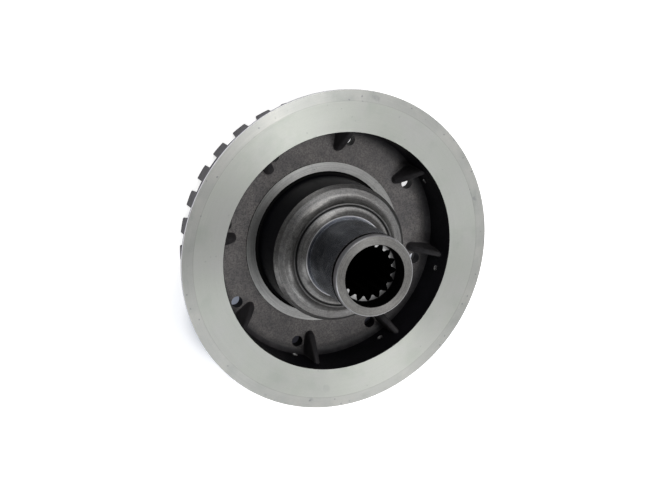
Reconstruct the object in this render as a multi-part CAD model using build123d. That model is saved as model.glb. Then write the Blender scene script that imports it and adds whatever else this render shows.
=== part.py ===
from build123d import *

import math
import os

# Clutch hub: one iron casting, turned, splined, drilled and ground on its working faces.
# The axis is Z. The hub stands on the rear end of its lugged drum, at z = 0, neck up.
# Angles are in degrees from +X, counter-clockwise seen from the neck side.
# All lengths are in millimetres.

# Lugged drum, which carries the inner teeth of the clutch plates
drum_depth = 62.0  # rear face of the drum up to the front face of the flange
lug_count = 32
lug_tip_diameter = 270.5
lug_root_diameter = 260.0
lug_width = 14.4
lug_corner_radius = 1.2
lug_angle = 6.85  # middle of the first lug
drum_end_chamfer = 1.0
lug_end_chamfer = 1.2  # turned on the rear corners of the lug tips

# Flange, the reaction plate of the clutch pack
flange_diameter = 304.0
flange_thickness = 8.5
flange_bore_diameter = 226.0
flange_bore_chamfer = 0.6
flange_bevel_diameter = 283.0  # where the shallow bevel of the front face starts
flange_bevel_drop = 1.0
flange_edge_width = 2.6
flange_rear_bevel_width = 5.0  # radial width of the bevel behind the edge

# Rim wall and web, as cast
wall_draft_angle = 2.0
wall_fillet_radius = 7.0
web_front_depth = 41.2  # flange face down to the cast web
web_thickness = 10.0
rear_wall_diameter = 216.0
rear_corner_bevel = 3.0  # at the foot of the rear boss and of the rear wall

# Machined pad around the foot of the boss
pad_diameter = 155.0
pad_height = 1.2
foot_groove_width = 3.6
foot_groove_depth = 1.6

# Boss with its ground journal and the two coves that run up to the neck
boss_diameter = 130.5
boss_face_rise = 1.7  # boss face above the flange face
boss_chamfer = 3.4
outer_cove_radius = 7.6
step_land_width = 3.4  # flat between the coves, which holds a narrow groove
step_groove_setback = 1.0  # from the land's inner edge to the groove
step_groove_width = 0.9
step_groove_depth = 1.3
inner_cove_radius = 8.1

# Neck, with a low shoulder at its foot and the groove for a sealing ring near its end
neck_diameter = 74.0
neck_shoulder_diameter = 78.0
neck_shoulder_rise = 4.0  # shoulder above the land between the coves
neck_shoulder_chamfer = 0.4
neck_length = 77.5  # flange face up to the neck's end face
neck_end_chamfer = 0.9
ring_groove_width = 2.8
ring_groove_depth = 2.4
ring_groove_setback = 7.4  # end face down to the groove's near side

# Bore: plain mouth, internal spline and rear relief
mouth_diameter = 56.2
mouth_depth = 15.8
mouth_chamfer = 0.6
spline_count = 17
spline_major_diameter = 54.8
spline_minor_diameter = 46.0
spline_tooth_root_width = 5.6
spline_tooth_tip_width = 2.4
spline_flank_bulge = 0.3  # how far each curved flank leans in from a straight one
spline_length = 70.0
spline_angle = 13.3  # middle of the first tooth
relief_diameter = 58.0

# Rear boss inside the drum
rear_boss_diameter = 140.0
rear_boss_setback = 3.0  # behind the drum's rear face, so that only the rim bears
rear_boss_chamfer = 1.5
rear_register_diameter = 84.0
rear_register_depth = 5.0

# Ribs between the web and the rim wall
rib_count = 8
rib_angle = -2.6
rib_foot_width = 7.8  # across the flanks at the web
rib_draft_angle = 3.0  # of both flanks and of the nose
rib_nose_clearance = 11.5  # from the pad's edge to the tip of the nose
rib_nose_rise = 3.6  # crest above the web at the nose
rib_top_drop = 12.0  # flange face down to the crest at the wall
rib_crown = 1.5  # how far the crest bulges from a straight line
rib_crest_radius = 2.0
rib_fillet_radius = 2.0  # all along the foot, on the web and on the wall

# Drain holes through the web, beside the ribs
web_hole_count = 8
web_hole_diameter = 11.0
web_hole_circle_diameter = 200.0
web_hole_angle = -9.2

# Oil holes through the rim wall, in gaps between lugs, stepped along the drum
oil_hole_count = 8
oil_hole_diameter = 5.0
oil_hole_gap = -2  # the first hole's gap, counted from the gap after the first lug
oil_hole_first_drop = 17.5  # flange face down to the first hole
oil_hole_step = 8.5
oil_hole_rows = 3

# Heights and radii that follow from the sizes above
flange_rear = drum_depth - flange_thickness
web_top = drum_depth - web_front_depth
web_bottom = web_top - web_thickness
pad_top = web_top + pad_height
boss_face = drum_depth + boss_face_rise
step_height = boss_face + outer_cove_radius
shoulder_height = step_height + neck_shoulder_rise
neck_end = drum_depth + neck_length
mouth_floor = neck_end - mouth_depth
spline_bottom = mouth_floor - spline_length
ring_groove_top = neck_end - ring_groove_setback
ring_groove_bottom = ring_groove_top - ring_groove_width
neck_radius = neck_diameter / 2
shoulder_radius = neck_shoulder_diameter / 2
boss_radius = boss_diameter / 2
lug_tip_radius = lug_tip_diameter / 2
lug_root_radius = lug_root_diameter / 2
flange_bore_radius = flange_bore_diameter / 2
overrun = 1.0  # how far a cut runs past the face that it opens
overlap = 3.0  # how far an added form reaches into the body that carries it


def wall_radius(height):
    """Radius of the rim's drafted inner wall at a height."""
    return flange_bore_radius - (drum_depth - height) * math.tan(math.radians(wall_draft_angle))


def arc_about(centre, start, end):
    """Short arc from start to end about centre, in the plane of the section."""
    middle_x = (start[0] + end[0]) / 2 - centre[0]
    middle_y = (start[1] + end[1]) / 2 - centre[1]
    radius = math.dist(centre, start)
    reach = radius / math.hypot(middle_x, middle_y)
    return ThreePointArc(start, (centre[0] + middle_x * reach, centre[1] + middle_y * reach), end)


def draw_rear_outline():
    """Rear register, rear boss, the back of the web and the drum's rear end."""
    boss_edge = rear_boss_diameter / 2
    wall = rear_wall_diameter / 2
    bevel_height = web_bottom - rear_corner_bevel
    register_floor = rear_boss_setback + rear_register_depth
    Polyline(
        (relief_diameter / 2, register_floor),
        (rear_register_diameter / 2, register_floor),
        (rear_register_diameter / 2, rear_boss_setback),
        (boss_edge - rear_boss_chamfer, rear_boss_setback),
        (boss_edge, rear_boss_setback + rear_boss_chamfer),
        (boss_edge, bevel_height),
        (boss_edge + rear_corner_bevel, web_bottom),
        (wall - rear_corner_bevel, web_bottom),
        (wall, bevel_height),
        (wall, drum_end_chamfer),
        (wall + drum_end_chamfer, 0),
        (lug_root_radius - drum_end_chamfer, 0),
        (lug_root_radius, drum_end_chamfer),
        (lug_root_radius, flange_rear),
    )


def draw_rim_outline():
    """Flange and rim wall, down to the cast web and the pad around the boss."""
    flange_radius = flange_diameter / 2
    edge_top = drum_depth - flange_bevel_drop
    draft = math.radians(wall_draft_angle)
    reach = wall_fillet_radius * math.tan((math.pi / 2 - draft) / 2)
    foot_radius = wall_radius(web_top)
    fillet_top = (foot_radius + reach * math.sin(draft), web_top + reach * math.cos(draft))
    fillet_foot = (foot_radius - reach, web_top)
    Polyline(
        (lug_root_radius, flange_rear),
        (flange_radius - flange_rear_bevel_width, flange_rear),
        (flange_radius, edge_top - flange_edge_width),
        (flange_radius, edge_top),
        (flange_bevel_diameter / 2, drum_depth),
        (flange_bore_radius + flange_bore_chamfer, drum_depth),
        (wall_radius(drum_depth - flange_bore_chamfer), drum_depth - flange_bore_chamfer),
        fillet_top,
    )
    arc_about((foot_radius - reach, web_top + wall_fillet_radius), fillet_top, fillet_foot)
    Polyline(
        fillet_foot,
        (pad_diameter / 2, web_top),
        (pad_diameter / 2, pad_top),
        (boss_radius + foot_groove_width, pad_top),
        (boss_radius + foot_groove_width - foot_groove_depth, pad_top - foot_groove_depth),
        (boss_radius, pad_top - foot_groove_depth),
    )


def draw_boss_outline():
    """Journal, boss face, the two coves with the groove between them, and the neck's shoulder."""
    cove_drop = inner_cove_radius - neck_shoulder_rise
    inner_start = shoulder_radius + math.sqrt(inner_cove_radius**2 - cove_drop**2)
    outer_end = inner_start + step_land_width
    groove_inner = inner_start + step_groove_setback
    groove_floor = step_height - step_groove_depth
    Polyline(
        (boss_radius, pad_top - foot_groove_depth),
        (boss_radius, boss_face - boss_chamfer),
        (boss_radius - boss_chamfer, boss_face),
        (outer_end + outer_cove_radius, boss_face),
    )
    arc_about(
        (outer_end + outer_cove_radius, step_height),
        (outer_end + outer_cove_radius, boss_face),
        (outer_end, step_height),
    )
    Polyline(
        (outer_end, step_height),
        (groove_inner + step_groove_width, step_height),
        (groove_inner + step_groove_width, groove_floor),
        (groove_inner, groove_floor),
        (groove_inner, step_height),
        (inner_start, step_height),
    )
    arc_about(
        (inner_start, step_height + inner_cove_radius),
        (inner_start, step_height),
        (shoulder_radius, shoulder_height),
    )


def draw_neck_outline():
    """Neck with its ring groove, the plain mouth, and the bore down to the rear register."""
    mouth_radius = mouth_diameter / 2
    minor_radius = spline_minor_diameter / 2
    relief_radius = relief_diameter / 2
    Polyline(
        (shoulder_radius, shoulder_height),
        (shoulder_radius - neck_shoulder_chamfer, shoulder_height + neck_shoulder_chamfer),
        (neck_radius, shoulder_height + neck_shoulder_chamfer),
        (neck_radius, ring_groove_bottom),
        (neck_radius - ring_groove_depth, ring_groove_bottom),
        (neck_radius - ring_groove_depth, ring_groove_top),
        (neck_radius, ring_groove_top),
        (neck_radius, neck_end - neck_end_chamfer),
        (neck_radius - neck_end_chamfer, neck_end),
        (mouth_radius + mouth_chamfer, neck_end),
        (mouth_radius, neck_end - mouth_chamfer),
        (mouth_radius, mouth_floor),
        (minor_radius, mouth_floor),
        (minor_radius, spline_bottom),
        (relief_radius, spline_bottom - (relief_radius - minor_radius)),
        (relief_radius, rear_boss_setback + rear_register_depth),
    )


def make_body():
    """Turned body, revolved from its half section."""
    with BuildPart() as body:
        with BuildSketch(Plane.XZ):
            with BuildLine():
                draw_rear_outline()
                draw_rim_outline()
                draw_boss_outline()
                draw_neck_outline()
            make_face()
        revolve(axis=Axis.Z)
    return body.part


def make_lugs():
    """Straight-sided lugs around the drum, with rounded tip corners, from end to flange."""
    chamfer_foot = lug_tip_radius - lug_end_chamfer
    chamfer_reach = lug_end_chamfer + overrun
    half_width = lug_width / 2
    foot = lug_root_radius - overlap
    tip_side = math.sqrt(lug_tip_radius**2 - half_width**2)
    with BuildSketch() as section:
        with BuildLine():
            Polyline((tip_side, half_width), (foot, half_width), (foot, -half_width), (tip_side, -half_width))
            ThreePointArc((tip_side, -half_width), (lug_tip_radius, 0), (tip_side, half_width))
        make_face()
        tip_corners = [corner for corner in section.vertices() if corner.X > lug_root_radius]
        fillet(tip_corners, radius=lug_corner_radius)
    with BuildPart() as end_cut:
        with BuildSketch(Plane.XZ):
            with BuildLine():
                Polyline(
                    (chamfer_foot - overrun, -overrun),
                    (lug_tip_radius + overrun, -overrun),
                    (lug_tip_radius + overrun, chamfer_reach),
                    close=True,
                )
            make_face()
        revolve(axis=Axis.Z)
    lug = extrude(section.sketch, amount=flange_rear + overlap) - end_cut.part
    return [place * lug for place in PolarLocations(0, lug_count, start_angle=lug_angle)]


def make_ribs():
    """Cast ribs with drafted flanks, round noses and round crests, from the web up the rim wall."""
    half_width = rib_foot_width / 2
    nose = pad_diameter / 2 + rib_nose_clearance
    foot = web_top - overlap
    top_height = drum_depth - rib_top_drop
    crest_start = Vector(nose, 0, web_top + rib_nose_rise)
    crest_top = Vector(wall_radius(top_height), 0, top_height)
    along = (crest_top - crest_start).normalized()
    crest_end = crest_top + along * (overlap + half_width)
    middle = (crest_start + crest_end) / 2 + Vector(-along.Z, 0, along.X) * rib_crown
    with BuildSketch(Plane.XY.offset(web_top)) as plan:
        with BuildLine():
            Polyline(
                (nose + half_width, -half_width),
                (lug_root_radius, -half_width),
                (lug_root_radius, half_width),
                (nose + half_width, half_width),
            )
            ThreePointArc((nose + half_width, half_width), (nose, 0), (nose + half_width, -half_width))
        make_face()
    with BuildSketch(Plane.XZ) as side:
        with BuildLine():
            ThreePointArc((crest_start.X, crest_start.Z), (middle.X, middle.Z), (crest_end.X, crest_end.Z))
            Polyline(
                (crest_end.X, crest_end.Z),
                (crest_end.X, foot),
                (nose - overrun, foot),
                (nose - overrun, crest_start.Z),
                (crest_start.X, crest_start.Z),
            )
        make_face()
    drafted = extrude(plan.sketch, amount=crest_end.Z - web_top + overrun, taper=rib_draft_angle)
    buried = extrude(plan.sketch, amount=-overlap)
    rib = (drafted + buried) & extrude(side.sketch, amount=rib_foot_width, both=True)
    crest = rib.faces().filter_by(GeomType.CYLINDER).sort_by(Axis.Z)[-1]
    crest_edges = [edge for edge in crest.edges() if edge.center().X < crest_top.X]
    rib = rib.fillet(rib_crest_radius, crest_edges)
    return [place * rib for place in PolarLocations(0, rib_count, start_angle=rib_angle)]


def make_casting():
    """Turned body with the ribs grown into it, filleted all along their feet."""
    body = make_body()
    ribs = make_ribs()
    casting = body + ribs
    foot_edges = new_edges(body, *ribs, combined=casting)
    return casting.fillet(rib_fillet_radius, foot_edges)


def make_spline_spaces():
    """Spaces between the teeth of the internal spline, as cutting tools."""
    pitch = 2 * math.pi / spline_count
    major = spline_major_diameter / 2
    minor = spline_minor_diameter / 2
    inside = minor - overrun
    root_half = pitch / 2 - spline_tooth_root_width / 2 / major
    tip_half = pitch / 2 - spline_tooth_tip_width / 2 / minor
    middle = (major + minor) / 2
    middle_half = (root_half + tip_half) / 2 + spline_flank_bulge / middle

    def point(radius, angle):
        return (radius * math.cos(angle), radius * math.sin(angle))

    with BuildSketch() as section:
        with BuildLine():
            ThreePointArc(point(major, -root_half), point(major, 0), point(major, root_half))
            ThreePointArc(
                point(major, root_half), point(middle, middle_half), point(minor, tip_half)
            )
            Polyline(
                point(minor, tip_half), point(inside, tip_half), point(inside, -tip_half), point(minor, -tip_half)
            )
            ThreePointArc(
                point(minor, -tip_half), point(middle, -middle_half), point(major, -root_half)
            )
        make_face()
    with BuildPart() as spaces:
        with BuildSketch(Plane.XY.offset(spline_bottom - overrun)):
            with PolarLocations(0, spline_count, start_angle=spline_angle + 180 / spline_count):
                add(section.sketch)
        extrude(amount=spline_length + overrun * 2)
    return spaces.part


def make_web_holes():
    """Drills for the drain holes through the web."""
    depth = web_thickness + wall_fillet_radius + overrun
    drill = Cylinder(web_hole_diameter / 2, depth * 2).translate((0, 0, web_bottom + web_thickness / 2))
    places = PolarLocations(web_hole_circle_diameter / 2, web_hole_count, start_angle=web_hole_angle)
    return [place * drill for place in places]


def make_oil_holes():
    """Radial drills for the oil holes, each row further down the drum than the last."""
    lug_pitch = 360 / lug_count
    first_angle = lug_angle + (oil_hole_gap + 1 / 2) * lug_pitch
    drills = []
    for index in range(oil_hole_count):
        height = drum_depth - oil_hole_first_drop - oil_hole_step * (index % oil_hole_rows)
        angle = first_angle - index * 360 / oil_hole_count
        inner = wall_radius(web_top) - wall_fillet_radius
        length = lug_tip_radius + overrun - inner
        drill = Cylinder(oil_hole_diameter / 2, length).rotate(Axis.Y, 90)
        drills.append(drill.translate((inner + length / 2, 0, height)).rotate(Axis.Z, angle))
    return drills


hub = make_casting() + make_lugs()
hub = hub - make_spline_spaces() - make_web_holes() - make_oil_holes()

os.makedirs("parts", exist_ok=True)
export_step(hub, "parts/clutch_hub.step")
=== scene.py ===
import math

import bpy
from mathutils import Matrix, Vector


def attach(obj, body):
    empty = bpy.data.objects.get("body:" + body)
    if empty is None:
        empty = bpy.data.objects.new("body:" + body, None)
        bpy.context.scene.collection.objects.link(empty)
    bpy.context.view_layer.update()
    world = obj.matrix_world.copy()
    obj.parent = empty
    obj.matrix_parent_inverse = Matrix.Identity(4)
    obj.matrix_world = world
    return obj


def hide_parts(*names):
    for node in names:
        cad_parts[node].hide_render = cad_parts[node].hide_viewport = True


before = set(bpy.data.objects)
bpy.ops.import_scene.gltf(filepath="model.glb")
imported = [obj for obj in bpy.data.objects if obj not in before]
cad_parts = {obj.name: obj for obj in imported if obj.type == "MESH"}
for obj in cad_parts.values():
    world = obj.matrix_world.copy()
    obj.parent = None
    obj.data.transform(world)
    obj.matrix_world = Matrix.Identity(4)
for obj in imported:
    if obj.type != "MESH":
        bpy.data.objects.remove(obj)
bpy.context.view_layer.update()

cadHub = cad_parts["clutch_hub"]
mm = 0.001


# Camera, at the photo's viewing angle
view = {
    "flangeFace": 62.0,  # mm, height of the flange's front face above the floor
    "distance": 1.2926,  # m, from the middle of that face
    "offAxis": 28.25,  # degrees between the hub's axis and the line of sight
    "azimuth": 149.49,  # degrees round the hub's axis
    "aim": (-8.2, 4.0),  # mm, where the middle of the picture meets the flange's face
    "lens": 75.8,  # mm
    "sensorWidth": 36,  # mm
}


# unit vector that many degrees off the hub's axis, towards that azimuth
def directionTo(offAxis, azimuth):
    off = math.radians(offAxis)
    turn = math.radians(azimuth)
    return Vector((math.sin(off) * math.cos(turn), math.sin(off) * math.sin(turn), math.cos(off)))


def addCamera():
    middle = Vector((0, 0, view["flangeFace"] * mm))
    place = middle + directionTo(view["offAxis"], view["azimuth"]) * view["distance"]
    aim = Vector((*view["aim"], view["flangeFace"])) * mm
    back = (place - aim).normalized()
    up = back.cross(Vector((1, 0, 0))).normalized()  # the hub's X axis stays level in the picture
    right = up.cross(back)
    camera = bpy.data.objects.new("camera", bpy.data.cameras.new("camera"))
    bpy.context.scene.collection.objects.link(camera)
    camera.matrix_world = Matrix((
        (right.x, up.x, back.x, place.x),
        (right.y, up.y, back.y, place.y),
        (right.z, up.z, back.z, place.z),
        (0, 0, 0, 1),
    ))
    camera.data.lens = view["lens"]
    camera.data.sensor_width = view["sensorWidth"]
    bpy.context.scene.camera = camera


addCamera()
print("camera placed")


# Studio: a wide white floor with a painted shadow under the hub, a pale world and soft square lamps
studio = {
    "floorSize": 80.0,  # m
    "floorGlow": 0.85,  # seen by the camera and in reflections only
    "shadeMiddle": (0.02, -0.075, 0),  # m, from the foot of the hub's axis
    "shadeReach": (0.19, 0.1, 1),  # m
    "shadeTones": [  # share of the painted shadow's reach, and the floor's colour there
        (0.35, (0.02, 0.02, 0.025)),
        (0.5, (0.2, 0.22, 0.27)),
        (0.66, (0.34, 0.36, 0.4)),
        (0.8, (0.8, 0.81, 0.83)),
        (0.95, (0.9, 0.9, 0.9)),
    ],
    "worldColour": (1, 1, 1, 1),
    "worldStrength": 0.22,
    "lampSize": 0.5,  # m
    "lamps": [  # name, degrees off the hub's axis, azimuth, distance in m, power in W, colour
        ("frontSoftbox", 20, 60, 1.5, 4.4, (1, 1, 1)),
        ("rightSoftbox", 20, 0, 1.5, 2.3, (1, 1, 1)),
        ("keySoftbox", 40, 104, 1.5, 4.4, (1, 0.99, 0.96)),
        ("lowSoftbox", 40, -90, 1.5, 2.7, (0.96, 0.98, 1)),
        ("leftSoftbox", 60, -135, 1.5, 3.7, (0.98, 0.99, 1)),
        ("topSoftbox", 28, -30, 0.9, 1.1, (1, 1, 1)),
    ],
}


def makeWhiteFloor():
    material = bpy.data.materials.new("whiteFloor")
    material.use_nodes = True
    nodes = material.node_tree.nodes
    links = material.node_tree.links
    nodes.clear()

    # painted shadow under the hub, seen round its foot and through its drain holes
    place = nodes.new("ShaderNodeTexCoord")
    fitted = nodes.new("ShaderNodeMapping")
    fitted.vector_type = "TEXTURE"
    fitted.inputs["Location"].default_value = studio["shadeMiddle"]
    fitted.inputs["Scale"].default_value = studio["shadeReach"]
    links.new(place.outputs["Object"], fitted.inputs["Vector"])
    reach = nodes.new("ShaderNodeVectorMath")
    reach.operation = "LENGTH"
    links.new(fitted.outputs["Vector"], reach.inputs[0])
    shade = nodes.new("ShaderNodeValToRGB")
    shade.color_ramp.interpolation = "EASE"
    while len(shade.color_ramp.elements) < len(studio["shadeTones"]):
        shade.color_ramp.elements.new(0.5)  # each is moved to its own place below
    for stop, (position, tone) in zip(shade.color_ramp.elements, studio["shadeTones"]):
        stop.position = position
        stop.color = (*tone, 1)
    links.new(reach.outputs["Value"], shade.inputs["Fac"])

    # the glow that makes it white, without more light on the hub
    rays = nodes.new("ShaderNodeLightPath")
    seen = nodes.new("ShaderNodeMath")
    seen.operation = "MAXIMUM"
    links.new(rays.outputs["Is Camera Ray"], seen.inputs[0])
    links.new(rays.outputs["Is Glossy Ray"], seen.inputs[1])
    strength = nodes.new("ShaderNodeMath")
    strength.operation = "MULTIPLY"
    strength.inputs[1].default_value = studio["floorGlow"]
    links.new(seen.outputs[0], strength.inputs[0])
    glow = nodes.new("ShaderNodeEmission")
    links.new(shade.outputs["Color"], glow.inputs["Color"])
    links.new(strength.outputs[0], glow.inputs["Strength"])

    diffuse = nodes.new("ShaderNodeBsdfDiffuse")
    links.new(shade.outputs["Color"], diffuse.inputs["Color"])
    both = nodes.new("ShaderNodeAddShader")
    links.new(diffuse.outputs[0], both.inputs[0])
    links.new(glow.outputs[0], both.inputs[1])
    output = nodes.new("ShaderNodeOutputMaterial")
    links.new(both.outputs[0], output.inputs["Surface"])
    return material


def addFloor():
    bpy.ops.object.select_all(action="DESELECT")
    bpy.ops.mesh.primitive_plane_add(size=studio["floorSize"], location=(0, 0, 0))
    floor = bpy.context.object
    floor.name = "floor"
    floor.data.materials.append(makeWhiteFloor())


def addLamp(name, offAxis, azimuth, distance, power, colour):
    away = directionTo(offAxis, azimuth)
    light = bpy.data.lights.new(name, "AREA")
    light.shape = "SQUARE"
    light.size = studio["lampSize"]
    light.energy = power
    light.color = colour
    lamp = bpy.data.objects.new(name, light)
    lamp.location = away * distance
    lamp.rotation_mode = "QUATERNION"
    lamp.rotation_quaternion = away.to_track_quat("Z", "Y")  # it shines back at the foot of the axis
    bpy.context.scene.collection.objects.link(lamp)


def addWorld():
    world = bpy.data.worlds.new("studioWorld")
    world.use_nodes = True
    background = world.node_tree.nodes["Background"]
    background.inputs["Color"].default_value = studio["worldColour"]
    background.inputs["Strength"].default_value = studio["worldStrength"]
    bpy.context.scene.world = world


addFloor()
for lampValues in studio["lamps"]:
    addLamp(*lampValues)
addWorld()
bpy.context.scene.view_settings.view_transform = "Standard"
print("studio lit")


# The casting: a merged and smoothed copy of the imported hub
casting = {
    "mergeDistance": 0.002,  # mm
    "smoothAngle": 28,  # degrees
}

# Spline teeth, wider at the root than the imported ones
teeth = {
    "count": 17,
    "firstAngle": 13.3,  # degrees, middle of the first tooth
    "majorRadius": 27.4,  # mm, as are all that follow
    "minorRadius": 23.0,
    "packedRoot": 5.6,  # widths
    "packedTip": 2.4,
    "root": 9.1,
    "tip": 1.7,
    "lowest": 52.6,  # heights between which the teeth stand
    "highest": 123.8,
    "slack": 0.05,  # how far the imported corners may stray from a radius
}

# Where each finish lies: between two radii and two heights, in mm. A face gets the last finish that
# holds its middle, and the first row holds every face.
surfaces = [
    ("castSkin", (0, 160), (-1, 140)),
    ("rimWall", (111.5, 113.7), (27, 62)),
    ("lugDrum", (125, 136), (-1, 53.45)),
    ("flangeBack", (126, 153), (53.4, 58.5)),
    ("flangeEdge", (151.2, 153), (58.3, 61.1)),
    ("flangeBevel", (141.4, 152.1), (61.01, 61.98)),
    ("flangeGround", (113.0, 141.6), (61.98, 63)),
    ("rimWall", (112.5, 113.6), (61.4, 61.99)),  # chamfer at the flange's inner edge, in the rim wall's painted shade
    ("rimWall", (108.6, 113.7), (21.6, 27)),  # fillet at the wall's foot, in the rim wall's painted shade
    ("rib", (86, 111.5), (21.3, 50.5)),
    ("drilled", (113.8, 129), (25, 47)),  # oil holes through the rim wall
    ("holeWall", (94, 106), (10.9, 20.7)),  # drain holes through the web
    ("pad", (68.8, 77.6), (21.9, 22.1)),
    ("groove", (77.4, 77.6), (20.9, 21.9)),  # side of the pad, in painted shade as black as a groove
    ("groove", (64, 69), (20.3, 21.95)),  # round groove at the journal's foot
    ("journal", (64.5, 65.3), (20.5, 60.35)),
    ("bossTurned", (56, 65.3), (60.3, 63.8)),  # boss face and its chamfer
    ("cove", (48, 56.8), (63.6, 71.25)),
    ("bossTurned", (45.9, 49.6), (71.2, 71.4)),  # land between the coves
    ("groove", (46.9, 48.1), (69.5, 71.25)),
    ("cove", (39.0, 46.1), (71.31, 75.2)),
    ("shoulder", (37.0, 39.05), (75.2, 75.8)),
    ("neckGround", (36.5, 37.3), (75.8, 129.2)),
    ("groove", (34, 36.98), (129.1, 132.3)),  # ring groove
    ("collar", (36.9, 37.3), (132.0, 138.7)),
    ("brightEdge", (36, 36.99), (138.6, 139.49)),
    ("neckEnd", (28.6, 36.6), (139.45, 140)),
    ("mouth", (27, 28.6), (123.8, 139.45)),
    ("splineEnds", (22, 28.05), (123.6, 123.8)),
    ("bore", (0, 29.1), (7, 123.6)),
    ("rearTurned", (30, 131), (-1, 3.1)),
]


def makeCasting():
    piece = bpy.data.objects.new("hubCasting", cadHub.data.copy())
    bpy.context.scene.collection.objects.link(piece)
    bpy.ops.object.select_all(action="DESELECT")
    piece.select_set(True)
    bpy.context.view_layer.objects.active = piece
    bpy.ops.mesh.customdata_custom_splitnormals_clear()
    bpy.ops.object.mode_set(mode="EDIT")
    bpy.ops.mesh.select_all(action="SELECT")
    bpy.ops.mesh.remove_doubles(threshold=casting["mergeDistance"] * mm)
    bpy.ops.object.mode_set(mode="OBJECT")
    bpy.ops.object.shade_smooth_by_angle(angle=math.radians(casting["smoothAngle"]))
    return piece


# half the angle that a tooth takes up at a radius
def toothHalfAngle(radius, root, tip):
    outwards = (radius - teeth["minorRadius"]) / (teeth["majorRadius"] - teeth["minorRadius"])
    return (tip + (root - tip) * outwards) / 2 / radius


# Turns the flanks away from the middle of their tooth, and draws the root arcs between them together
def widenTeeth(piece):
    pitch = 2 * math.pi / teeth["count"]
    for corner in piece.data.vertices:
        radius = corner.co.xy.length / mm
        height = corner.co.z / mm
        if not teeth["minorRadius"] - teeth["slack"] < radius < teeth["majorRadius"] + teeth["slack"]:
            continue
        if not teeth["lowest"] < height < teeth["highest"]:
            continue
        turn = math.atan2(corner.co.y, corner.co.x) - math.radians(teeth["firstAngle"])
        away = turn - round(turn / pitch) * pitch  # from the middle of the nearest tooth
        packed = toothHalfAngle(radius, teeth["packedRoot"], teeth["packedTip"])
        wanted = toothHalfAngle(radius, teeth["root"], teeth["tip"])
        if radius > teeth["majorRadius"] - teeth["slack"] and abs(away) > packed:
            spare = (pitch / 2 - wanted) / (pitch / 2 - packed)
            moved = math.copysign(pitch / 2 - (pitch / 2 - abs(away)) * spare, away)
        else:
            moved = away * wanted / packed
        corner.co = Matrix.Rotation(moved - away, 3, "Z") @ corner.co


def giveFinishes(piece, materials):
    piece.data.materials.clear()
    names = list(materials)
    for name in names:
        piece.data.materials.append(materials[name])
    for face in piece.data.polygons:
        corners = [piece.data.vertices[index].co / mm for index in face.vertices]
        radius = sum(corner.xy.length for corner in corners) / len(corners)
        height = sum(corner.z for corner in corners) / len(corners)
        for name, (nearest, farthest), (lowest, highest) in surfaces:
            if nearest <= radius <= farthest and lowest <= height <= highest:
                face.material_index = names.index(name)


# The noises that the finishes are made of. A mark begins to show where its noise passes "starts",
# and shows in full from "full" on.
patterns = {
    "patches": {"seed": 1, "detail": 4.0, "roughness": 0.6, "starts": 0.35, "full": 0.65},
    "sand": {"seed": 2, "detail": 3.0, "roughness": 0.65, "starts": 0.62, "full": 0.4},
    "wideRings": {"seed": 3, "detail": 3.0, "roughness": 0.5, "starts": 0.3, "full": 0.7},
    "fineRings": {"seed": 4, "detail": 3.0, "roughness": 0.5},
    "stain": {"seed": 5, "detail": 4.0, "roughness": 0.6, "starts": 0.52, "full": 0.75},
    "tint": {"seed": 6, "detail": 3.0, "roughness": 0.55, "starts": 0.45, "full": 0.7},
    "grain": {"seed": 7, "detail": 3.0, "roughness": 0.7, "starts": 0.65, "full": 0.35},
    "pits": {"seed": 8, "detail": 3.0, "roughness": 0.5},
    "smudges": {"seed": 9, "detail": 3.0, "roughness": 0.5},
}

# What else the finishes share
shared = {
    "roughSpan": (0.3, 0.7),  # noise where a surface is at the first of its "rough" values, and the second
    "shine": 0.5,  # specular level where a finish gives no other
    "patchRelief": 2.0,  # relief of a casting's patches, against that of its sand
    "wallShadeRise": 1,  # mm over which the painted shade by the rim wall comes in
    "fineRings": 4,  # fine rings to each wide one
    "ringWander": 2.0,  # how much the rings change on their way round
    "glossTurn": 0.25,  # of a turn, so that highlights stretch across the rings
    "spotLumps": 0.7,  # size of the lumps in a spot's ragged edge, as a share of the spot's
    "spotBite": 0.3,  # how far they swell or bite into it, as a share of the spot's size
    "spotSpan": (0.3, 0.7),  # noise where they swell most, and bite most
}


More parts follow.
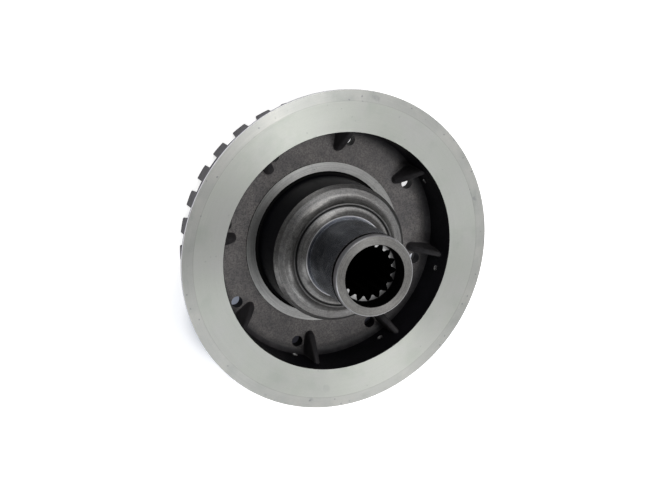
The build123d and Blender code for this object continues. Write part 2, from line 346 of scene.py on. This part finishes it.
# A finish's material, with short names for the nodes that it is built from
class Nodes:
    def __init__(self, name):
        self.material = bpy.data.materials.new(name)
        self.material.use_nodes = True
        self.tree = self.material.node_tree
        self.shader = self.tree.nodes["Principled BSDF"]
        self.place = self.tree.nodes.new("ShaderNodeTexCoord").outputs["Object"]
        split = self.tree.nodes.new("ShaderNodeSeparateXYZ")
        self.put(self.place, split.inputs[0])
        self.x, self.y, self.z = split.outputs
        xSquared = self.math("MULTIPLY", self.x, self.x)
        ySquared = self.math("MULTIPLY", self.y, self.y)
        self.radius = self.math("SQRT", self.math("ADD", xSquared, ySquared))

    # links a node's output to the socket, or sets a plain value on it
    def put(self, value, socket):
        if isinstance(value, bpy.types.NodeSocket):
            self.tree.links.new(value, socket)
        else:
            socket.default_value = value

    def math(self, operation, first, second=0.0):
        node = self.tree.nodes.new("ShaderNodeMath")
        node.operation = operation
        self.put(first, node.inputs[0])
        self.put(second, node.inputs[1])
        return node.outputs[0]

    # first where the value is low, second where it is high, straight between
    def between(self, value, low, high, first, second):
        node = self.tree.nodes.new("ShaderNodeMapRange")
        self.put(value, node.inputs["Value"])
        for name, number in zip(("From Min", "From Max", "To Min", "To Max"), (low, high, first, second)):
            self.put(number, node.inputs[name])
        return node.outputs[0]

    def mix(self, amount, first, second):
        node = self.tree.nodes.new("ShaderNodeMix")
        node.data_type = "RGBA"
        sockets = (node.inputs[0], node.inputs[6], node.inputs[7])  # the factor and the two colours
        for value, socket in zip((amount, first, second), sockets):
            self.put((*value, 1) if isinstance(value, tuple) else value, socket)
        return node.outputs[2]

    # a pattern's noise, from 0 to 1
    def noise(self, pattern, where, scale):
        node = self.tree.nodes.new("ShaderNodeTexNoise")
        node.noise_dimensions = "4D"
        self.put(where, node.inputs["Vector"])
        self.put(scale, node.inputs["Scale"])
        self.put(patterns[pattern]["seed"], node.inputs["W"])
        self.put(patterns[pattern]["detail"], node.inputs["Detail"])
        self.put(patterns[pattern]["roughness"], node.inputs["Roughness"])
        return node.outputs[0]

    # noise with lumps about size mm across
    def lumps(self, pattern, size):
        return self.noise(pattern, self.place, 1 / (size * mm))

    # noise in rings about the axis: it changes quickly along the given length, slowly around
    def rings(self, pattern, along, size):
        node = self.tree.nodes.new("ShaderNodeCombineXYZ")
        self.put(self.math("DIVIDE", along, size * mm), node.inputs[0])
        for share, socket in ((self.x, node.inputs[1]), (self.y, node.inputs[2])):
            around = self.math("DIVIDE", share, self.radius)
            self.put(self.math("MULTIPLY", around, shared["ringWander"]), socket)
        return self.noise(pattern, node.outputs[0], 1.0)

    # how strongly a pattern's mark shows, given its noise
    def strength(self, pattern, noise, amount):
        return self.between(noise, patterns[pattern]["starts"], patterns[pattern]["full"], 0.0, amount)

    # ragged spots of the mark, each full in the middle and gone at its edge
    def spots(self, pattern, mark):
        seed = patterns[pattern]["seed"]
        moved = self.tree.nodes.new("ShaderNodeVectorMath")
        self.put(self.place, moved.inputs[0])
        self.put((seed, seed, seed), moved.inputs[1])
        cells = self.tree.nodes.new("ShaderNodeTexVoronoi")
        self.put(moved.outputs[0], cells.inputs["Vector"])
        self.put(1 / (mark["spacing"] * mm), cells.inputs["Scale"])
        edge = mark["size"] / 2 / mark["spacing"]  # the Voronoi distance is a share of the spacing
        bite = shared["spotBite"] * mark["size"] / mark["spacing"]
        lumps = self.lumps(pattern, mark["size"] * shared["spotLumps"])
        ragged = self.between(lumps, *shared["spotSpan"], -bite, bite)
        away = self.math("ADD", cells.outputs["Distance"], ragged)
        return self.math("MULTIPLY", self.between(away, edge / 2, edge, 1.0, 0.0), mark["amount"])

    # joins the colour, gloss and relief to the shader
    def finish(self, values, colour, rough, relief):
        self.put(colour, self.shader.inputs["Base Color"])
        self.put(rough, self.shader.inputs["Roughness"])
        self.put(values["metal"], self.shader.inputs["Metallic"])
        self.put(values.get("shine", shared["shine"]), self.shader.inputs["Specular IOR Level"])
        bump = self.tree.nodes.new("ShaderNodeBump")
        self.put(relief, bump.inputs["Height"])
        self.put(values["depth"] * mm, bump.inputs["Distance"])
        self.put(bump.outputs[0], self.shader.inputs["Normal"])
        return self.material


# Rough iron as cast: mottled, with grains of sand printed in it, and with painted shade towards the rim
# wall where a finish asks for it.
# Sizes, radii and heights are in mm.
castFinishes = {
    "castSkin": {
        "dark": (0.122, 0.116, 0.118), "light": (0.202, 0.188, 0.182), "patchSize": 16,
        "rough": (0.5, 0.72), "metal": 0.3, "depth": 0.25,
        "sand": {"size": 1.5, "amount": 0.65, "colour": (0.03, 0.028, 0.03)},
        # painted shade: the cast skin turns near black towards the rim wall
        "wallShade": {"starts": 101, "full": 109, "above": 19, "amount": 0.93, "colour": (0.006, 0.006, 0.007)},
    },
    # its near-black colour is painted shade, far darker than the iron's own
    "rimWall": {
        "dark": (0.004, 0.004, 0.005), "light": (0.009, 0.008, 0.011), "patchSize": 14,
        "rough": (0.4, 0.6), "metal": 0.0, "shine": 0.08, "depth": 0.12,
        "sand": {"size": 1.8, "amount": 0.4, "colour": (0.002, 0.002, 0.003)},
    },
    # a darker copy of the cast skin: painted shade on the ribs
    "rib": {
        "dark": (0.024, 0.023, 0.025), "light": (0.05, 0.047, 0.05), "patchSize": 10,
        "rough": (0.45, 0.62), "metal": 0.2, "shine": 0.3, "depth": 0.12,
        "sand": {"size": 1.4, "amount": 0.4, "colour": (0.01, 0.01, 0.012)},
    },
    # near black: painted shade inside the drain holes
    "holeWall": {
        "dark": (0.008, 0.008, 0.009), "light": (0.016, 0.015, 0.017), "patchSize": 6,
        "rough": (0.5, 0.6), "metal": 0.0, "shine": 0.1, "depth": 0.04,
        "sand": {"size": 1.0, "amount": 0.3, "colour": (0.008, 0.008, 0.008)},
    },
    "lugDrum": {
        "dark": (0.045, 0.042, 0.052), "light": (0.078, 0.073, 0.087), "patchSize": 9,
        "rough": (0.4, 0.55), "metal": 0.2, "shine": 0.25, "depth": 0.04,
        "sand": {"size": 0.8, "amount": 0.4, "colour": (0.02, 0.02, 0.025)},
    },
}


def makeCast(name, values):
    nodes = Nodes(name)
    patches = nodes.lumps("patches", values["patchSize"])
    sand = nodes.lumps("sand", values["sand"]["size"])
    colour = nodes.mix(nodes.strength("patches", patches, 1.0), values["dark"], values["light"])
    sandStrength = nodes.strength("sand", sand, values["sand"]["amount"])
    colour = nodes.mix(sandStrength, colour, values["sand"]["colour"])
    # painted shade, darkening the cast skin towards the rim wall
    if "wallShade" in values:
        wallShade = values["wallShade"]
        outwards = nodes.between(nodes.radius, wallShade["starts"] * mm, wallShade["full"] * mm, 0.0, 1.0)
        top = wallShade["above"] + shared["wallShadeRise"]
        upwards = nodes.between(nodes.z, wallShade["above"] * mm, top * mm, 0.0, wallShade["amount"])
        colour = nodes.mix(nodes.math("MULTIPLY", outwards, upwards), colour, wallShade["colour"])
    rough = nodes.between(sand, *shared["roughSpan"], *values["rough"])
    relief = nodes.math("ADD", sand, nodes.math("MULTIPLY", patches, shared["patchRelief"]))
    return nodes.finish(values, colour, rough, relief)


# Turned or ground iron, with rings about the axis that stretch its highlights. A line is a ring of painted
# highlight or painted shade at that radius. Where the finish is upright, as on a cylinder, its rings lie
# one above the other and the line is at that height. Sizes, radii and heights are in mm.
machinedFinishes = {
    "flangeGround": {
        "dark": (0.525, 0.542, 0.508), "light": (0.54, 0.557, 0.522), "ringSize": 1.2,
        "rough": (0.57, 0.63), "metal": 1.0, "stretch": 0.8, "depth": 0.002,
        "stain": {"size": 34, "amount": 0.7, "colour": (0.42, 0.455, 0.41)},
        "tint": {"size": 34, "amount": 0.45, "colour": (0.56, 0.552, 0.555)},
        "grain": {"size": 1.1, "amount": 0.1, "colour": (0.33, 0.35, 0.33)},
        "smudges": {"spacing": 40, "size": 9, "amount": 0.14, "colour": (0.18, 0.19, 0.2)},
        "pits": {"spacing": 13, "size": 1.8, "amount": 0.22, "colour": (0.18, 0.19, 0.2)},
    },
    "flangeBevel": {
        "dark": (0.44, 0.447, 0.43), "light": (0.485, 0.49, 0.47), "ringSize": 0.9,
        "rough": (0.51, 0.56), "metal": 1.0, "stretch": 0.8, "depth": 0.004,
        "stain": {"size": 22, "amount": 0.6, "colour": (0.33, 0.35, 0.33)},
        "tint": {"size": 22, "amount": 0.5, "colour": (0.6, 0.592, 0.56)},
        "grain": {"size": 1.1, "amount": 0.12, "colour": (0.28, 0.3, 0.3)},
        # painted shade: a thin dark ring along the bevel's inner edge
        "line": {"at": 141.7, "reach": 0.7, "amount": 0.25, "colour": (0.26, 0.27, 0.24)},
        "smudges": {"spacing": 22, "size": 7, "amount": 0.3, "colour": (0.14, 0.15, 0.17)},
        "pits": {"spacing": 8, "size": 2.0, "amount": 0.55, "colour": (0.14, 0.15, 0.17)},
    },
    "flangeEdge": {
        "dark": (0.5, 0.5, 0.54), "light": (0.6, 0.6, 0.64), "ringSize": 0.8,
        "rough": (0.3, 0.4), "metal": 1.0, "stretch": 0.5, "depth": 0.004, "upright": True,
        "stain": {"size": 10, "amount": 0.4, "colour": (0.4, 0.4, 0.42)},
        # painted shade: a dark band round the back of the flange's edge
        "line": {"at": 58.5, "reach": 1.6, "amount": 1.0, "colour": (0.05, 0.045, 0.06)},
    },
    "flangeBack": {
        "dark": (0.2, 0.2, 0.21), "light": (0.28, 0.28, 0.29), "ringSize": 1.0,
        "rough": (0.35, 0.45), "metal": 0.9, "stretch": 0.5, "depth": 0.006,
        "stain": {"size": 14, "amount": 0.5, "colour": (0.12, 0.12, 0.13)},
    },
    "pad": {
        "dark": (0.28, 0.28, 0.276), "light": (0.42, 0.42, 0.412), "ringSize": 0.9,
        "rough": (0.46, 0.54), "metal": 1.0, "stretch": 0.8, "depth": 0.008,
        "stain": {"size": 7, "amount": 0.4, "colour": (0.17, 0.17, 0.17)},
        "grain": {"size": 1.4, "amount": 0.35, "colour": (0.2, 0.2, 0.2)},
        "pits": {"spacing": 7, "size": 1.6, "amount": 0.35, "colour": (0.08, 0.08, 0.08)},
    },
    # near black and without gloss: painted shade in grooves and under steps
    "groove": {
        "dark": (0.003, 0.003, 0.003), "light": (0.006, 0.006, 0.006), "ringSize": 1.0,
        "rough": (0.5, 0.6), "metal": 0.0, "shine": 0.05, "stretch": 0.0, "depth": 0.004,
        "stain": {"size": 8, "amount": 0.3, "colour": (0.002, 0.002, 0.002)},
    },
    # near black and without metal: painted shade on the ground journal, deep between pad and boss
    "journal": {
        "dark": (0.003, 0.003, 0.005), "light": (0.007, 0.007, 0.01), "ringSize": 1.5,
        "rough": (0.3, 0.4), "metal": 0.0, "shine": 0.08, "stretch": 0.4, "depth": 0.003, "upright": True,
        "stain": {"size": 12, "amount": 0.4, "colour": (0.006, 0.006, 0.007)},
    },
    "bossTurned": {
        "dark": (0.11, 0.109, 0.109), "light": (0.24, 0.236, 0.234), "ringSize": 0.9,
        "rough": (0.4, 0.48), "metal": 1.0, "stretch": 0.75, "depth": 0.008,
        "stain": {"size": 6, "amount": 0.75, "colour": (0.07, 0.068, 0.066)},
        "tint": {"size": 6, "amount": 0.4, "colour": (0.2, 0.193, 0.182)},
        "grain": {"size": 1.2, "amount": 0.6, "colour": (0.06, 0.06, 0.06)},
        # painted shade: a dark ring about the step groove, wider than the groove
        "line": {"at": 47.4, "reach": 1.7, "amount": 0.85, "colour": (0.02, 0.02, 0.02)},
    },
    "cove": {
        "dark": (0.13, 0.128, 0.127), "light": (0.28, 0.275, 0.271), "ringSize": 0.8,
        "rough": (0.35, 0.42), "metal": 1.0, "stretch": 0.6, "depth": 0.008,
        "stain": {"size": 6, "amount": 0.75, "colour": (0.07, 0.068, 0.066)},
        "tint": {"size": 6, "amount": 0.4, "colour": (0.22, 0.212, 0.2)},
        "grain": {"size": 1.2, "amount": 0.6, "colour": (0.06, 0.06, 0.06)},
        # painted shade: a dark ring about the step groove, wider than the groove
        "line": {"at": 47.4, "reach": 1.7, "amount": 0.85, "colour": (0.02, 0.02, 0.02)},
    },
    "brightEdge": {
        "dark": (0.28, 0.28, 0.29), "light": (0.4, 0.4, 0.41), "ringSize": 0.5,
        "rough": (0.4, 0.48), "metal": 1.0, "stretch": 0.3, "depth": 0.002,
        "stain": {"size": 5, "amount": 0.5, "colour": (0.3, 0.3, 0.31)},
    },
    "shoulder": {
        "dark": (0.1, 0.105, 0.12), "light": (0.15, 0.155, 0.17), "ringSize": 0.5,
        "rough": (0.36, 0.4), "metal": 1.0, "stretch": 0.3, "depth": 0.002,
        "stain": {"size": 6, "amount": 0.5, "colour": (0.05, 0.05, 0.06)},
        # painted highlight: a light ring at the neck's root
        "line": {"at": 38.8, "reach": 0.7, "amount": 1.0, "colour": (0.5, 0.5, 0.52)},
    },
    "neckGround": {
        "dark": (0.2, 0.215, 0.25), "light": (0.21, 0.225, 0.26), "ringSize": 3.0,
        "rough": 0.27, "metal": 1.0, "stretch": 0.4, "depth": 0.0001, "upright": True,
        "stain": {"size": 12, "amount": 0.5, "colour": (0.07, 0.075, 0.1)},
        "tint": {"size": 12, "amount": 0.55, "colour": (0.46, 0.49, 0.53)},
        # painted highlight: a light ring where the neck meets the ring groove
        "line": {"at": 128.95, "reach": 0.5, "amount": 1.0, "colour": (0.45, 0.45, 0.47)},
    },
    "collar": {
        "dark": (0.22, 0.215, 0.23), "light": (0.32, 0.31, 0.33), "ringSize": 1.0,
        "rough": (0.35, 0.42), "metal": 1.0, "stretch": 0.4, "depth": 0.002, "upright": True,
        "stain": {"size": 9, "amount": 0.5, "colour": (0.12, 0.12, 0.13)},
        # painted shade: a dark ring along the ring groove, widening it
        "line": {"at": 132.15, "reach": 1.1, "amount": 1.0, "colour": (0.01, 0.01, 0.012)},
    },
    "neckEnd": {
        "dark": (0.143, 0.14, 0.136), "light": (0.231, 0.227, 0.218), "ringSize": 0.8,
        "rough": (0.46, 0.54), "metal": 1.0, "stretch": 0.75, "depth": 0.008,
        "stain": {"size": 6, "amount": 0.5, "colour": (0.11, 0.106, 0.1)},
        "grain": {"size": 1.3, "amount": 0.45, "colour": (0.07, 0.07, 0.07)},
    },
    # near black and without gloss: painted shade inside the bore's mouth
    "mouth": {
        "dark": (0.002, 0.002, 0.002), "light": (0.004, 0.004, 0.004), "ringSize": 1.2,
        "rough": (0.35, 0.45), "metal": 0.0, "shine": 0.0, "stretch": 0.4, "depth": 0.004, "upright": True,
        "stain": {"size": 9, "amount": 0.4, "colour": (0.002, 0.002, 0.002)},
    },
    "splineEnds": {
        "dark": (0.26, 0.26, 0.26), "light": (0.36, 0.36, 0.36), "ringSize": 0.8,
        "rough": (0.3, 0.4), "metal": 1.0, "stretch": 0.4, "depth": 0.006,
        "stain": {"size": 4, "amount": 0.5, "colour": (0.15, 0.15, 0.15)},
        # painted shade: a dark ring at the teeth's roots, between them
        "line": {"at": 27.95, "reach": 0.9, "amount": 0.95, "colour": (0.01, 0.01, 0.01)},
    },
    # black: painted shade inside the bore
    "bore": {
        "dark": (0.001, 0.001, 0.001), "light": (0.002, 0.002, 0.002), "ringSize": 1.6,
        "rough": (0.5, 0.6), "metal": 0.0, "shine": 0.0, "stretch": 0.0, "depth": 0.004, "upright": True,
        "stain": {"size": 9, "amount": 0.4, "colour": (0.001, 0.001, 0.001)},
    },
    "drilled": {
        "dark": (0.5, 0.5, 0.5), "light": (0.6, 0.6, 0.6), "ringSize": 0.9,
        "rough": (0.3, 0.4), "metal": 0.7, "stretch": 0.0, "depth": 0.004,
        "stain": {"size": 3, "amount": 0.4, "colour": (0.3, 0.3, 0.3)},
    },
    "rearTurned": {
        "dark": (0.3, 0.3, 0.3), "light": (0.4, 0.4, 0.4), "ringSize": 0.9,
        "rough": (0.3, 0.4), "metal": 1.0, "stretch": 0.6, "depth": 0.006,
        "stain": {"size": 12, "amount": 0.4, "colour": (0.2, 0.2, 0.2)},
    },
}


def makeMachined(name, values):
    nodes = Nodes(name)
    along = nodes.z if values.get("upright") else nodes.radius
    wide = nodes.rings("wideRings", along, values["ringSize"])
    fine = nodes.rings("fineRings", along, values["ringSize"] / shared["fineRings"])
    colour = nodes.mix(nodes.strength("wideRings", wide, 1.0), values["dark"], values["light"])
    for mark in ("stain", "tint", "grain"):
        if mark in values:
            amount = nodes.strength(mark, nodes.lumps(mark, values[mark]["size"]), values[mark]["amount"])
            colour = nodes.mix(amount, colour, values[mark]["colour"])
    # a ring of painted highlight or painted shade, given as its colour
    if "line" in values:
        line = values["line"]
        reach = line["reach"] * mm
        aside = nodes.math("ABSOLUTE", nodes.math("SUBTRACT", along, line["at"] * mm))
        amount = nodes.between(aside, reach / 2, reach, line["amount"], 0.0)
        colour = nodes.mix(amount, colour, line["colour"])
    for mark in ("smudges", "pits"):
        if mark in values:
            colour = nodes.mix(nodes.spots(mark, values[mark]), colour, values[mark]["colour"])
    rough = values["rough"]
    if isinstance(rough, tuple):  # it varies with the rings, and is otherwise the same all over
        rough = nodes.between(fine, *shared["roughSpan"], *rough)
    nodes.put(values["stretch"], nodes.shader.inputs["Anisotropic"])
    nodes.put(shared["glossTurn"], nodes.shader.inputs["Anisotropic Rotation"])
    return nodes.finish(values, colour, rough, nodes.math("ADD", fine, wide))


hubCasting = makeCasting()
print("casting copied")
widenTeeth(hubCasting)
print("spline teeth widened")
materials = {name: makeCast(name, values) for name, values in castFinishes.items()}
materials.update({name: makeMachined(name, values) for name, values in machinedFinishes.items()})
giveFinishes(hubCasting, materials)
print("finishes given")
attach(hubCasting, "root")
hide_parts("clutch_hub")
print("casting made")
